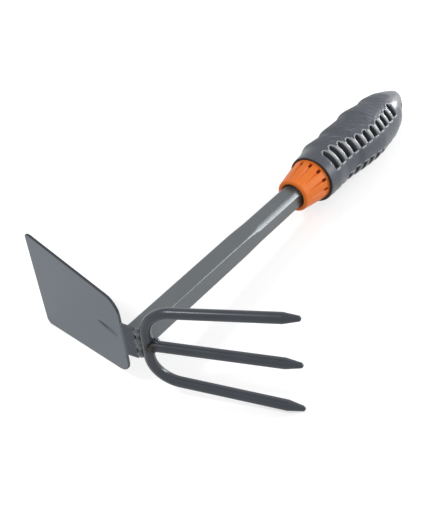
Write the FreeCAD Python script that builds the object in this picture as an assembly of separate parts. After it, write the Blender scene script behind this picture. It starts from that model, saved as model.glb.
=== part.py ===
"""A hand hoe with a flat blade on one side of its head and three prongs on the other.

The tool is drawn along its own axis: X runs from the head to the butt of the grip,
+Y towards the blade, -Y towards the prongs, and Z across the prongs. The origin of
that drawing is on the tube's axis, close behind its slanted end. At the end the whole
tool is laid on its side, where it rests on the blade, the lower prong and the grip,
with the origin under the middle of it. All lengths are millimetres and all angles
degrees.
"""
import FreeCAD, Part

import math
import os

# Shaft: square steel tube, its corners pressed flat towards the grip
tube_side = 12.0
tube_wall = 1.5
tube_corner_radius = 1.3
tube_length = 235.0
press_start = 88.0
press_run = 16.0
pressed_flats = 12.5
pressed_corner = 2.35
pressed_bulge = 0.12

# Head: both tools lean back towards the grip, and the tube's end is cut on a slant
prong_rake = 22.1
blade_lean = 7.5
mitre_angle = 9.5
mitre_offset = 1.9

# Blade: one stamped plate, bent at the neck into a tab that is welded to the tube
plate_thickness = 1.5
blade_length = 75.6
blade_edge_width = 65.8
blade_shoulder_width = 50.8
blade_corner_radius = 3.2
blade_shoulder_radius = 10.3
neck_notch_radius = 1.2
neck_bend_radius = 2.5
neck_bend_height = 4.7
tab_width = 21.5
tab_length = 7.5
bevel_length = 4.0
bevel_land = 0.7
dart_length = 20.5
dart_peak = 4.6
dart_radius = 3.6
dart_depth = 1.3
dart_tip_radius = 0.25

# Prongs: one bent rod makes the outer two, a straight rod the middle one
rod_diameter = 6.0
bow_stand_off = 3.7
bow_drop = 8.05
bow_width = 45.6
bow_bend_radius = 17.0
prong_splay = 6.2
prong_reach = 82.3
point_length = 9.2
point_tip_diameter = 2.6

# Weld beads
neck_bead_radius = 1.7
bow_bead_radius = 1.7
seam_bead_radius = 1.8
prong_bead_radius = 2.2

# Collar: moulded ring between tube and grip
collar_start = 144.5
collar_length = 20.8
collar_nose_radius = 10.5
collar_base_radius = 13.9
collar_lip = 1.1
collar_bore_radius = 7.8
collar_front_wall = 2.6
window_count = 13
facets_per_window = 3
window_first_angle = 9.0
window_width = 2.1
window_length = 3.2
window_depth = 2.4
window_edge = 1.6
flute_width = 2.4
flute_depth = 0.9
flute_fade_width = 0.8
flute_length = 14.5

# Grip: moulding with finger grooves, slots down to its core and a hanging hole
grip_start = 164.5
grip_length = 112.4
finger_height = 19.3
palm_height = 19.0
side_height = 18.2
butt_rise = 4.0
grip_views = 8
groove_round_radius = 6.0
butt_round_radius = 4.0
slot_first = 10.3
slot_pitch = 6.87
slot_width = 3.0
slot_spine_angle = 29.0
slot_reach_angle = 80.0
slot_floor_wall = 0.9
hole_diameter = 9.0
hole_from_butt = 13.4
hole_flare_depth = 1.6
hole_flare_angle = 20.0

# Core: hard sleeve inside the grip that takes the tube
core_start = 147.6
core_radius = 9.6
core_flange_length = 2.4
core_end_wall = 3.0

# Fits, the shortest rounding that is drawn, and how near faces count as one
slip = 0.15
least_round = 0.01
join_slack = 0.001
overrun = 30.0

# How the resting turn is found
seat_accuracy = 0.05
settle_rounds = 6
settle_step = 0.5

# The grip's form at stations from mouth to butt. Each row holds the station's share
# of the grip's length, then the shares that the finger side, the palm side and the
# two flanks take of their full heights.
grip_station_shares = [
    (0.000, 0.775, 0.830, 0.841),
    (0.095, 0.825, 0.842, 0.874),
    (0.165, 0.990, 0.800, 0.890),
    (0.279, 0.860, 0.842, 0.896),
    (0.325, 0.974, 0.915, 0.929),
    (0.468, 0.880, 0.995, 0.984),
    (0.524, 0.995, 1.000, 1.000),
    (0.668, 0.808, 0.884, 0.912),
    (0.722, 0.907, 0.832, 0.896),
    (0.802, 0.840, 0.690, 0.800),
    (0.889, 0.668, 0.410, 0.600),
    (0.955, 0.475, 0.168, 0.412),
    (1.000, 0.360, 0.065, 0.300),
]
butt_bend_share = 0.72

# How far round each slot reaches, as a share of the longest reach
slot_reach_shares = [1.0, 0.985, 0.90, 0.815, 0.73, 0.69, 0.667, 0.667, 0.69, 0.72, 0.785]

vector = FreeCAD.Vector
axis_x = vector(1, 0, 0)
axis_y = vector(0, 1, 0)
axis_z = vector(0, 0, 1)


def sine(angle):
    return math.sin(math.radians(angle))


def cosine(angle):
    return math.cos(math.radians(angle))


def tangent(angle):
    return math.tan(math.radians(angle))


def rounded_face(corners, place):
    """A flat face through corners (u, v, radius), each rounded; place turns u, v into a point."""
    points = [place(u, v) for u, v, _ in corners]
    edges = []
    last = None
    first = None
    for i, (point, corner) in enumerate(zip(points, corners)):
        before = (points[i - 1] - point).normalize()
        after = (points[(i + 1) % len(points)] - point).normalize()
        half = before.getAngle(after) / 2
        set_back = corner[2] / math.tan(half)
        radius = corner[2] if set_back > least_round else 0
        start = point + before * (radius / math.tan(half))
        end = point + after * (radius / math.tan(half))
        if last is None:
            first = start
        else:
            edges.append(Part.makeLine(last, start))
        if radius > 0:
            middle = point + (before + after).normalize() * (radius / math.sin(half) - radius)
            edges.append(Part.Arc(start, middle, end).toShape())
        last = end
    edges.append(Part.makeLine(last, first))
    return Part.Face(Part.Wire(edges))


def bead(start, end, radius):
    """A straight weld bead between two points."""
    return Part.makeCylinder(radius, (end - start).Length, start, end - start)


def one_solid(shape):
    """The largest solid of a shape, without the slivers that a cut can leave."""
    return max(shape.Solids, key=lambda solid: solid.Volume)


# Directions along and behind the prongs, the slanted end with its tab, and the blade
down_rake = vector(sine(prong_rake), -cosine(prong_rake), 0)
behind_rake = vector(cosine(prong_rake), sine(prong_rake), 0)
down_tab = vector(sine(mitre_angle), -cosine(mitre_angle), 0)
behind_tab = vector(cosine(mitre_angle), sine(mitre_angle), 0)
up_blade = vector(sine(blade_lean), cosine(blade_lean), 0)
behind_blade = vector(cosine(blade_lean), -sine(blade_lean), 0)

# The outer corner of the neck's bend, on the front of the plate
neck = vector(
    -mitre_offset - (plate_thickness + neck_bend_height * sine(mitre_angle)) / cosine(mitre_angle),
    neck_bend_height,
    0,
)
tab_end = neck + down_tab * tab_length


def blade_profile():
    """The bent plate seen from its side: tab, bend and blade with its ground edge."""
    inside_turn = (behind_tab + behind_blade) / (1 + behind_tab.dot(behind_blade))
    past_edge = blade_length + tab_length
    corners = [
        (tab_end, 0),
        (tab_end + behind_tab * plate_thickness, 0),
        (neck + inside_turn * plate_thickness, neck_bend_radius),
        (neck + up_blade * (blade_length - bevel_length) + behind_blade * plate_thickness, 0),
        (neck + up_blade * blade_length + behind_blade * bevel_land, 0),
        (neck + up_blade * past_edge + behind_blade * bevel_land, 0),
        (neck + up_blade * past_edge, 0),
        (neck, neck_bend_radius + plate_thickness),
    ]
    return rounded_face([(p.x, p.y, r) for p, r in corners], lambda u, v: vector(u, v, 0))


def blade_outline():
    """The blade seen from the head: ground edge, straight sides, round shoulders, tab."""
    edge_y = neck.y + blade_length * cosine(blade_lean)
    tab_y = neck.y - 2 * tab_length
    half = [
        (tab_y, tab_width / 2, 0),
        (neck.y, tab_width / 2, neck_notch_radius),
        (neck.y, blade_shoulder_width / 2, blade_shoulder_radius),
        (edge_y, blade_edge_width / 2, blade_corner_radius),
    ]
    mirrored = [(y, -z, radius) for y, z, radius in reversed(half)]
    return rounded_face(half + mirrored, lambda u, v: vector(-blade_length, u, v))


def dart(depth_shift):
    """A slender double cone along the blade's middle, sunk into its front face."""
    sunk = behind_blade * (dart_depth - dart_radius + depth_shift)
    peak = neck + up_blade * dart_peak + sunk
    far_end = neck + up_blade * dart_length + behind_blade * depth_shift
    near_end = neck + behind_blade * depth_shift
    cones = [
        Part.makeCone(dart_radius, dart_tip_radius, (end - peak).Length, peak, end - peak)
        for end in (far_end, near_end)
    ]
    return cones[0].fuse(cones[1])


def hoe_blade():
    width = blade_edge_width
    plate = blade_profile()
    plate.translate(axis_z * -width)
    plate = plate.extrude(axis_z * (2 * width))
    plate = plate.common(blade_outline().extrude(axis_x * (2 * blade_length)))
    behind = Part.makeBox(width, dart_length, width)
    behind.translate(vector(plate_thickness / 2, 0, -width / 2))
    behind.rotate(vector(0, 0, 0), axis_z, -blade_lean)
    behind.translate(neck)
    swelling = dart(plate_thickness).common(behind)
    return one_solid(plate.fuse(swelling).cut(dart(0)).removeSplitter())


def tube_section(x, flats, corner, bulge):
    """A square with curved corners: flats is its width, corner the leg that each corner takes."""
    half = flats / 2
    leg = half - corner
    edges = []
    for turn in range(4):
        spin = FreeCAD.Rotation(axis_x, 90 * turn)
        side_start = spin.multVec(vector(0, half, -leg))
        side_end = spin.multVec(vector(0, half, leg))
        corner_end = spin.multVec(vector(0, leg, half))
        outward = spin.multVec(vector(0, 1, 1)).normalize()
        middle = (side_end + corner_end) / 2 + outward * bulge
        edges.append(Part.makeLine(side_start, side_end))
        edges.append(Part.Arc(side_end, middle, corner_end).toShape())
    wire = Part.Wire(edges)
    wire.translate(axis_x * x)
    return wire


def tube_form(inset, start, end):
    """The tube's outline, or its bore when inset by the wall, as one solid."""
    corner_inset = inset * (2 - math.sqrt(2))
    square_corner = tube_corner_radius - corner_inset
    square_bulge = square_corner * (1 - math.sqrt(0.5))
    square = (tube_side - 2 * inset, square_corner, square_bulge)
    pressed = (pressed_flats - 2 * inset, pressed_corner - corner_inset, pressed_bulge)
    press_end = press_start + press_run
    square_run = Part.Face(tube_section(start, *square)).extrude(axis_x * (press_start - start))
    change = Part.makeLoft([tube_section(press_start, *square), tube_section(press_end, *pressed)], True, True)
    pressed_stretch = Part.Face(tube_section(press_end, *pressed)).extrude(axis_x * (end - press_end))
    return square_run.fuse([change, pressed_stretch]).removeSplitter()


def beyond_mitre():
    """Everything in front of the tube's slanted end."""
    block = Part.makeBox(tube_length, 2 * tube_length, tube_length)
    block.translate(vector(-tube_length, -tube_length, -tube_length / 2))
    block.rotate(vector(0, 0, 0), axis_z, mitre_angle)
    block.translate(axis_x * -mitre_offset)
    return block


def shaft_tube():
    """The hollow tube, with its lower edge coped to seat the bow's base."""
    outer = tube_form(0, -tube_side, tube_length)
    bore_inset = tube_wall
    bore = tube_form(bore_inset, -2 * tube_side, tube_length + overrun)
    cope = Part.makeCylinder(rod_diameter / 2, 2 * tube_side, bow_centre - axis_z * tube_side, axis_z)
    return one_solid(outer.cut([bore, beyond_mitre(), cope]))


# The middle of the bow's base, and a point of the prongs' plane
bow_centre = vector(0, -bow_drop, 0)
bow_centre.x = (bow_drop * sine(prong_rake) - bow_stand_off) / cosine(prong_rake)


def in_bow(along, across):
    """A point of the prongs' plane: along the prongs from the base, and across them."""
    return bow_centre + down_rake * along + axis_z * across


def prong_point(base, direction):
    """The tapered point at the end of a prong that starts at base."""
    return Part.makeCone(rod_diameter / 2, point_tip_diameter / 2, point_length, base, direction)


def prong_bow():
    turn = 90 - prong_splay
    set_back = bow_bend_radius * tangent(turn / 2)
    radius = rod_diameter / 2
    path = []
    sides = {}
    for side in (1, -1):
        corner = in_bow(0, side * bow_width / 2)
        leg = down_rake * cosine(prong_splay) + axis_z * (side * sine(prong_splay))
        leg_length = prong_reach / cosine(prong_splay) - point_length
        bend_start = corner - axis_z * (side * set_back)
        bend_end = corner + leg * set_back
        inward = (leg - axis_z * side).normalize()
        reach = bow_bend_radius / cosine(turn / 2) - bow_bend_radius
        sides[side] = (bend_start, corner + inward * reach, bend_end, corner + leg * leg_length, leg)
    for side in (1, -1):
        bend_start, bend_middle, bend_end, leg_end, leg = sides[side]
        path.append(Part.makeLine(leg_end, bend_end))
        path.append(Part.Arc(bend_end, bend_middle, bend_start).toShape())
    path.insert(2, Part.makeLine(sides[1][0], sides[-1][0]))
    ordered = Part.Wire(Part.__sortEdges__(path))
    leg_end, leg = sides[1][3], sides[1][4]
    section = Part.Wire(Part.makeCircle(radius, leg_end, leg))
    rod = ordered.makePipeShell([section], True, False)
    points = [prong_point(sides[side][3], sides[side][4]) for side in (1, -1)]
    return one_solid(rod.fuse(points).removeSplitter())


def middle_prong():
    """The straight rod, whose square end butts on the bow's base."""
    start = rod_diameter / 2
    length = prong_reach - point_length - start
    rod = Part.makeCylinder(rod_diameter / 2, length, in_bow(start, 0), down_rake)
    point = prong_point(in_bow(start + length, 0), down_rake)
    return one_solid(rod.fuse(point).removeSplitter())


def neck_weld(side, blade, tube):
    """The bead that joins a flank of the tube to the back of the tab."""
    flank = axis_z * (side * tube_side / 2) + behind_tab * plate_thickness
    return one_solid(bead(neck + flank, tab_end + flank, neck_bead_radius).cut([blade, tube]))


def bow_weld(side, blade, tube, bow):
    """The bead that fills one half of the gap between the end of the tab and the bow's base."""
    start = tab_end + behind_tab * (plate_thickness / 2)
    to_bow = bow_centre - start
    middle = start + to_bow * ((1 - rod_diameter / 2 / to_bow.Length) / 2)
    inner = middle + axis_z * (side * bow_bead_radius / 2)
    outer = middle + axis_z * (side * (tab_width - bow_bead_radius) / 2)
    return one_solid(bead(inner, outer, bow_bead_radius).cut([blade, tube, bow]))


def seam_weld(tube, bow, others):
    """The bead along the tube's lower edge, where the bow's base meets it."""
    edge = vector(bow_centre.x + rod_diameter / 2, -tube_side / 2, 0)
    middle = (edge + bow_centre + behind_rake * (rod_diameter / 2)) / 2
    half = axis_z * (tube_side / 2)
    return one_solid(bead(middle - half, middle + half, seam_bead_radius).cut([tube, bow] + others))


def prong_weld(side, bow, prong, others):
    """The bead across the foot of the middle prong, on its front or its back."""
    middle = in_bow(rod_diameter / 2, 0) + behind_rake * (side * rod_diameter / 2)
    half = axis_z * (rod_diameter / 2)
    return one_solid(bead(middle - half, middle + half, prong_bead_radius).cut([bow, prong] + others))


def collar_ring(x, radius):
    """The corners of the collar's outline at x, with the same number of facets to each window."""
    count = facets_per_window * window_count
    spins = [window_first_angle + 360 * (index + 1 / 2) / count for index in range(count)]
    return [FreeCAD.Rotation(axis_x, spin).multVec(vector(x, 0, radius)) for spin in spins]


def flat_sided(rings):
    """A solid through rings of corners, with flat faces between them and at both ends."""
    outlines = [rings[0], rings[-1]]
    for near, far in zip(rings, rings[1:]):
        for i in range(len(near)):
            outlines.append([near[i - 1], near[i], far[i], far[i - 1]])
    faces = [Part.Face(Part.makePolygon(corners + corners[:1])) for corners in outlines]
    solid = Part.Solid(Part.makeShell(faces))
    return solid if solid.Volume > 0 else solid.reversed()


def collar():
    """A thick cone with an eased lip, windows at its wide end and flutes that fade from them."""
    end = collar_start + collar_length
    slope = (collar_base_radius - collar_nose_radius) / collar_length
    eased = collar_lip * (1 - math.sqrt(0.5))
    rings = [
        collar_ring(collar_start, collar_nose_radius - collar_lip),
        collar_ring(collar_start + eased, collar_nose_radius - eased),
        collar_ring(collar_start + collar_lip, collar_nose_radius + slope * collar_lip),
        collar_ring(end, collar_base_radius),
    ]
    body = flat_sided(rings)
    bore = Part.makeCylinder(
        collar_bore_radius, 2 * overrun, vector(collar_start - overrun, 0, 0), axis_x
    )
    socket = Part.makeCylinder(
        core_radius + slip, collar_length + overrun,
        vector(collar_start + collar_front_wall, 0, 0), axis_x,
    )
    window_start = end - window_edge - window_length
    surface = collar_base_radius - slope * (end - window_start)
    window = Part.makeBox(window_length, window_width, 2 * window_depth)
    window.translate(vector(window_start, -window_width / 2, surface - window_depth))
    fade = end - flute_length
    fade_surface = collar_base_radius - slope * flute_length
    flute = Part.makeWedge(
        -flute_width / 2, 0, surface - flute_depth, fade_surface, -flute_fade_width / 2,
        flute_width / 2, window_start - fade, surface + window_depth, fade_surface + window_depth,
        flute_fade_width / 2,
    )
    flute.rotate(vector(0, 0, 0), axis_z, 90)
    flute.translate(axis_x * window_start)
    cutters = [bore, socket]
    for index in range(window_count):
        angle = window_first_angle + 360 * index / window_count
        for cutter in (window, flute):
            turned = cutter.copy()
            turned.rotate(vector(0, 0, 0), axis_x, angle)
            cutters.append(turned)
    return one_solid(body.cut(cutters))


def grip_reach(row, angle):
    """How far a station's section reaches from the axis, at an angle from the finger side."""
    share, finger, palm, flank = row
    past_bend = max(0, share - butt_bend_share) / (1 - butt_bend_share)
    rise = butt_rise * past_bend ** 2
    across = flank * side_height * sine(angle)
    if cosine(angle) > 0:
        height = finger * finger_height - rise
    else:
        height = palm * palm_height + rise
    return rise * cosine(angle) + math.hypot(across, height * cosine(angle))


def grip_view(angle):
    """The grip's outline seen across an angle, drawn out both ways into a slab."""
    mouth = 0
    butt = len(grip_station_shares) - 1
    upper = []
    lower = []
    for index, row in enumerate(grip_station_shares):
        x = grip_start + row[0] * grip_length
        for side, way, facing in ((upper, 1, angle), (lower, -1, angle + 180)):
            radius = groove_round_radius if cosine(facing) > 0 and index != mouth else 0
            radius = butt_round_radius if index == butt else radius
            side.append((x, way * grip_reach(row, facing), radius))
    outline = rounded_face(upper + lower[::-1], lambda u, v: vector(u, v, -grip_length))
    slab = outline.extrude(axis_z * (2 * grip_length))
    slab.rotate(vector(0, 0, 0), axis_x, angle)
    return slab


def grip_form():
    """The grip's outer form: what all its outlines from round about have in common."""
    form = grip_view(0)
    for index in range(1, grip_views):
        form = form.common(grip_view(180 * index / grip_views), join_slack)
    return form


def grip_heights(share):
    """The heights of the finger side and the palm side at a share of the grip's length."""
    for low, high in zip(grip_station_shares, grip_station_shares[1:]):
        if low[0] <= share <= high[0]:
            part = (share - low[0]) / (high[0] - low[0])
            return (
                finger_height * (low[1] + part * (high[1] - low[1])),
                palm_height * (low[2] + part * (high[2] - low[2])),
            )


def slot_cutter(index, side):
    """The space of one slot: a pocket square at the spine and eased at the flank."""
    place = slot_first + index * slot_pitch
    surface = grip_heights(place / grip_length)[1]
    reach = slot_reach_angle * slot_reach_shares[index]
    far = surface * sine((reach - slot_spine_angle) / 2)
    half = slot_width / 2
    plan = [(-half, -far), (half, -far), (half, far - half), (half / 2, far), (-half / 2, far), (-half, far - half)]
    floor = core_radius + slip + slot_floor_wall
    corners = [vector(grip_start + place + u, -floor, v) for u, v in plan]
    pocket = Part.Face(Part.makePolygon(corners + corners[:1]))
    pocket = pocket.extrude(axis_y * -(palm_height + slot_width - floor))
    pocket.rotate(vector(0, 0, 0), axis_x, -(reach + slot_spine_angle) / 2)
    return pocket if side > 0 else pocket.mirror(vector(0, 0, 0), axis_z)


def hanging_hole():
    """The hole through the butt, flared where it meets the surface."""
    x = grip_start + grip_length - hole_from_butt
    radius = hole_diameter / 2
    finger_side, palm_side = grip_heights(1 - hole_from_butt / grip_length)
    length = finger_side + palm_side + 2 * hole_diameter
    bore = Part.makeCylinder(radius, length, vector(x, -palm_side - hole_diameter, 0), axis_y)
    flare_length = hole_flare_depth + hole_diameter
    flare_radius = radius + flare_length * tangent(hole_flare_angle)
    finger_flare = Part.makeCone(
        radius, flare_radius, flare_length, vector(x, finger_side - hole_flare_depth, 0), axis_y
    )
    palm_flare = Part.makeCone(
        radius, flare_radius, flare_length, vector(x, hole_flare_depth - palm_side, 0), -axis_y
    )
    return bore.fuse([finger_flare, palm_flare])


def grip():
    flange_end = collar_start + collar_length + core_flange_length
    recess = Part.makeCylinder(
        collar_base_radius + slip, flange_end + slip - grip_start + overrun, vector(grip_start - overrun, 0, 0), axis_x
    )
    bore_length = core_end() + slip - flange_end
    bore = Part.makeCylinder(core_radius + slip, bore_length, vector(flange_end, 0, 0), axis_x)
    slots = [slot_cutter(index, side) for index in range(len(slot_reach_shares)) for side in (1, -1)]
    return one_solid(grip_form().cut([recess, bore, hanging_hole()] + slots))


def core_end():
    """Where the core's blind end stands, a wall behind the tube's end."""
    return tube_length + slip + core_end_wall


def grip_core():
    """The hard sleeve: a nose inside the collar, a flange that the collar butts on, a blind socket."""
    flange_start = collar_start + collar_length
    flange_end = flange_start + core_flange_length
    nose = Part.makeCylinder(core_radius, flange_start - core_start, vector(core_start, 0, 0), axis_x)
    flange = Part.makeCylinder(collar_base_radius, core_flange_length, vector(flange_start, 0, 0), axis_x)
    sleeve = Part.makeCylinder(core_radius, core_end() - flange_end, vector(flange_end, 0, 0), axis_x)
    socket = tube_form(-slip, 0, tube_length + slip)
    return one_solid(nose.fuse([flange, sleeve]).cut(socket).removeSplitter())


def lowest(points, turn):
    """The lowest height among points once they are turned."""
    return min(turn.multVec(point).z for point in points)


def resting_turn(blade, bow, handle):
    """The turn that brings the blade, the lower prong and the grip down to one floor."""
    supports = [shape.tessellate(seat_accuracy)[0] for shape in (blade, bow, handle)]
    pitch = 0
    roll = 0
    for _ in range(settle_rounds):
        def heights(pitch, roll):
            turn = FreeCAD.Rotation(axis_y, pitch) * FreeCAD.Rotation(axis_x, roll)
            return [lowest(points, turn) for points in supports]

        here = heights(pitch, roll)
        pitched = heights(pitch + settle_step, roll)
        rolled = heights(pitch, roll + settle_step)
        tip = here[2] - (here[0] + here[1]) / 2
        tip_by_pitch = (pitched[2] - (pitched[0] + pitched[1]) / 2 - tip) / settle_step
        lean = here[0] - here[1]
        lean_by_roll = (rolled[0] - rolled[1] - lean) / settle_step
        pitch -= tip / tip_by_pitch
        roll -= lean / lean_by_roll
    return FreeCAD.Rotation(axis_y, pitch) * FreeCAD.Rotation(axis_x, roll)


def build():
    tube = shaft_tube()
    blade = hoe_blade()
    bow = prong_bow()
    prong = middle_prong()
    prong_beads = [prong_weld(side, bow, prong, [tube, blade]) for side in (1, -1)]
    seam_bead = seam_weld(tube, bow, [blade, prong] + prong_beads)
    pieces = {
        "hoe_blade": blade,
        "prong_bow": bow,
        "middle_prong": prong,
        "shaft_tube": tube,
        "neck_weld_upper": neck_weld(1, blade, tube),
        "neck_weld_lower": neck_weld(-1, blade, tube),
        "bow_weld_upper": bow_weld(1, blade, tube, bow),
        "bow_weld_lower": bow_weld(-1, blade, tube, bow),
        "seam_weld": seam_bead,
        "prong_weld_back": prong_beads[0],
        "prong_weld_front": prong_beads[1],
        "collar": collar(),
        "grip_core": grip_core(),
        "grip": grip(),
    }
    turn = resting_turn(blade, bow, pieces["grip"])
    for shape in pieces.values():
        shape.Placement = FreeCAD.Placement(vector(0, 0, 0), turn).multiply(shape.Placement)
    box = Part.makeCompound(list(pieces.values())).optimalBoundingBox(False, False)
    shift = vector(-box.Center.x, -box.Center.y, -box.ZMin)
    os.makedirs("parts", exist_ok=True)
    for name, shape in pieces.items():
        shape.translate(shift)
        shape.exportStep("parts/" + name + ".step")
    print("turn", turn.toEuler(), "shift", shift)
    for name, shape in pieces.items():
        print(name, len(shape.Solids), shape.isValid(), round(shape.Volume))


build()
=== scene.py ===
# %% [markdown]
# A hand tool with a flat hoe blade on one side of its head and three round prongs on the other.
# The engineering model is loaded first and stays fixed. Each piece below is a smooth skin drawn in
# the place of one of its solids. Only the grip's core, which is hidden, keeps its solid. So the
# lesson is about surfaces, finishes and light.

import math

import bmesh
import bpy
import numpy as np
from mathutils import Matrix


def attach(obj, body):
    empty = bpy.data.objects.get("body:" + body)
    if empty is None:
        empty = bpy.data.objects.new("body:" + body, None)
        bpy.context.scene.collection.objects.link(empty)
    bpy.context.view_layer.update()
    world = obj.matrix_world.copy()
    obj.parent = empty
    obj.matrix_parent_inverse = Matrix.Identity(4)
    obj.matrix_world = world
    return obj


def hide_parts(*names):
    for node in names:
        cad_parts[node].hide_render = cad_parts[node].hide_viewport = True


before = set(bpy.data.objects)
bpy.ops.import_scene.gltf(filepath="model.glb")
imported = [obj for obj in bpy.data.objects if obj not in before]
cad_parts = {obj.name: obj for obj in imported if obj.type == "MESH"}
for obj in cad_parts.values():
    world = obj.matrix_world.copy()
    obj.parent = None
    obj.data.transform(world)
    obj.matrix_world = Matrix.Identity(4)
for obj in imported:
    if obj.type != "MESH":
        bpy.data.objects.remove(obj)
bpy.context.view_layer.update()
print("nodes", sorted(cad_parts))

# %% [markdown]
# The tool is easiest to draw along its own axis: X from the head to the butt, +Y towards the blade,
# Z across the prongs, in millimetres. It then lies down on its side by a small pitch and roll, the
# turn in which blade, lower prong and grip touch the floor together.

# %% From the drawing to the floor
PITCH = math.radians(4.1183876)
ROLL = math.radians(-0.9883806)
SHIFT = np.array([-135.421036, 2.59533, 34.261764])


def laid_down(points):
    """Drawing points in mm, rolled about X, then pitched about Y, then shifted, in metres."""
    c, s = math.cos(ROLL), math.sin(ROLL)
    roll = np.array([[1, 0, 0], [0, c, -s], [0, s, c]])
    c, s = math.cos(PITCH), math.sin(PITCH)
    pitch = np.array([[c, 0, s], [0, 1, 0], [-s, 0, c]])
    return (np.asarray(points) @ (pitch @ roll).T + SHIFT) / 1000


print("origin of the drawing lies at", laid_down([0, 0, 0]).round(4).tolist())

# %% [markdown]
# Almost every piece is a skin over a grid of points: rows run along the piece and columns run round
# it. A closed skin has its last column joined to the first, and either a fan of triangles over each
# end or its last row joined to the first. The volume inside it is worked out from its triangles, and
# a skin that comes out inside out is turned over. Values stored on the points serve the finishes.

# %% A skin over a grid of points
def surface(name, grid, ring=False, sharp=40, stored=None):
    """Quads between neighbours of grid[row, column], in mm; volume is the sum of a . (b x c) / 6."""
    rows, columns = grid.shape[:2]
    index = np.arange(rows * columns).reshape(rows, columns)
    near = index if ring else index[:-1]
    far = np.roll(index, -1, 0) if ring else index[1:]
    quads = np.stack([near, np.roll(near, -1, 1), np.roll(far, -1, 1), far], -1).reshape(-1, 4)
    ends = np.array([grid[0].mean(0), grid[-1].mean(0)])
    points = laid_down(np.concatenate([grid.reshape(-1, 3), ends[:0 if ring else 2]]))
    fans = np.concatenate([
        np.stack([np.roll(index[0], -1), index[0], 0 * index[0] + rows * columns], -1),
        np.stack([index[-1], np.roll(index[-1], -1), 0 * index[-1] + rows * columns + 1], -1),
    ])[:0 if ring else None]
    a, b, c = points[np.concatenate([quads[:, [0, 1, 2]], quads[:, [0, 2, 3]], fans])].transpose(1, 0, 2)
    volume = (a * np.cross(b, c)).sum() / 6
    way = 1 if volume > 0 else -1
    mesh = bpy.data.meshes.new(name)
    mesh.from_pydata(points.tolist(), [], quads[:, ::way].tolist() + fans[:, ::way].tolist())
    for key, values in (stored or {}).items():
        caps = [] if ring else [values[0].mean(), values[-1].mean()]
        layer = mesh.attributes.new(key, "FLOAT", "POINT")
        layer.data.foreach_set("value", np.append(values.ravel(), caps).astype(np.float32))
    mesh.shade_smooth()
    mesh.set_sharp_from_angle(angle=math.radians(sharp))
    piece = bpy.data.objects.new(name, mesh)
    bpy.context.scene.collection.objects.link(piece)
    print(name, len(mesh.polygons), "faces,", round(abs(volume) * 1e6, 2), "cm3")
    return piece


def skin(name, grid, node, slot, **form):
    """A surface that stands in for one solid, which it hides, and rides on the tool."""
    piece = surface(name, grid, **form)
    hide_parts(node)
    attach(piece, "root")
    return piece


def ease(value, low, high):
    """0 below low, 1 above high and a smooth S between them: 3 t squared less 2 t cubed."""
    t = np.clip((value - low) / (high - low), 0, 1)
    return t * t * (3 - 2 * t)


def near_to(value, middle, width):
    """1 at the middle and fading as a bell on both sides of it."""
    return np.exp(-((value - middle) / width) ** 2)


print("the smooth step is", ease(np.array([0.25, 0.5, 0.75]), 0, 1).round(2).tolist(), "at its quarters")

# %% [markdown]
# Three directions are shared by the head. The prongs are raked back most. The tube's end is cut on a
# smaller slant, and the blade's tab lies flat on that cut. The blade leans a little the other way.
# In the photograph the bow sits just under a millimetre lower than its nominal place, so it does here.

# %% Directions of the head
RAKE = math.radians(22.1)
CUT = math.radians(9.5)
LEAN = math.radians(7.5)
DOWN = np.array([math.sin(RAKE), -math.cos(RAKE), 0])
BEHIND = np.array([math.cos(RAKE), math.sin(RAKE), 0])
TAB_DOWN = np.array([math.sin(CUT), -math.cos(CUT), 0])
TAB_BEHIND = np.array([math.cos(CUT), math.sin(CUT), 0])
UP = np.array([math.sin(LEAN), math.cos(LEAN), 0])
ACROSS = np.array([0.0, 0.0, 1.0])
PLATE = 1.5
CUT_AT = -1.9
BEND_HEIGHT = 4.7
TAB = 7.5
NECK = np.array([CUT_AT - (PLATE + BEND_HEIGHT * math.sin(CUT)) / math.cos(CUT), BEND_HEIGHT, 0])
TAB_END = NECK + TAB_DOWN * TAB
ROD = 6.0
BOW_DROP = 8.05
BOW_STAND_OFF = 3.7
LOWERED = 0.9
BOW_AT = (BOW_DROP * math.sin(RAKE) - BOW_STAND_OFF) / math.cos(RAKE)
BOW_CENTRE = np.array([BOW_AT, -BOW_DROP, 0]) + DOWN * LOWERED
print("bend of the plate at", NECK.round(2), "end of its tab at", TAB_END.round(2))
print("middle of the bow at", BOW_CENTRE.round(2))

# %% [markdown]
# A prong is a round rod with a long taper forged on its end and the very tip left blunt and round.
# The rod's radius depends only on the distance from the tip, so one function serves all three.

# %% The round rod
REACH = 82.3 - LOWERED
POINT = 9.2
TIP = 1.3
BLUNT = 1.1


def rod_radius(from_tip):
    """A straight taper, times the height of a quarter circle over the last millimetre, kept above 0."""
    taper = np.minimum(ROD / 2, TIP + (ROD / 2 - TIP) * from_tip / POINT)
    over = np.clip(from_tip / BLUNT, 0, 1)
    return taper * np.sqrt(np.clip(1 - (1 - over) ** 2, 0.0004, 1))


def from_tip_rows():
    """Distances from the tip, close together over the blunt end and where the taper begins."""
    blunt = BLUNT * (1 - np.cos(np.linspace(0, math.pi / 2, 9)))
    return np.concatenate([blunt, np.linspace(BLUNT, POINT - 0.5, 16)[1:], POINT + np.linspace(-0.3, 0.6, 6)])


def tube_of(path, tangent, side, radius, columns):
    """Circles of the given radii across a path: centre + radius (cos a side + sin a tangent x side)."""
    angle = np.linspace(0, 2 * np.pi, columns, endpoint=False)
    other = np.cross(tangent, side)
    ring = np.cos(angle)[None, :, None] * side[:, None] + np.sin(angle)[None, :, None] * other[:, None]
    return path[:, None] + radius[:, None, None] * ring


print("radius at 0, 1, 5 and 10 mm from the tip", rod_radius(np.array([0, 1, 5, 10])).round(2).tolist())

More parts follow.
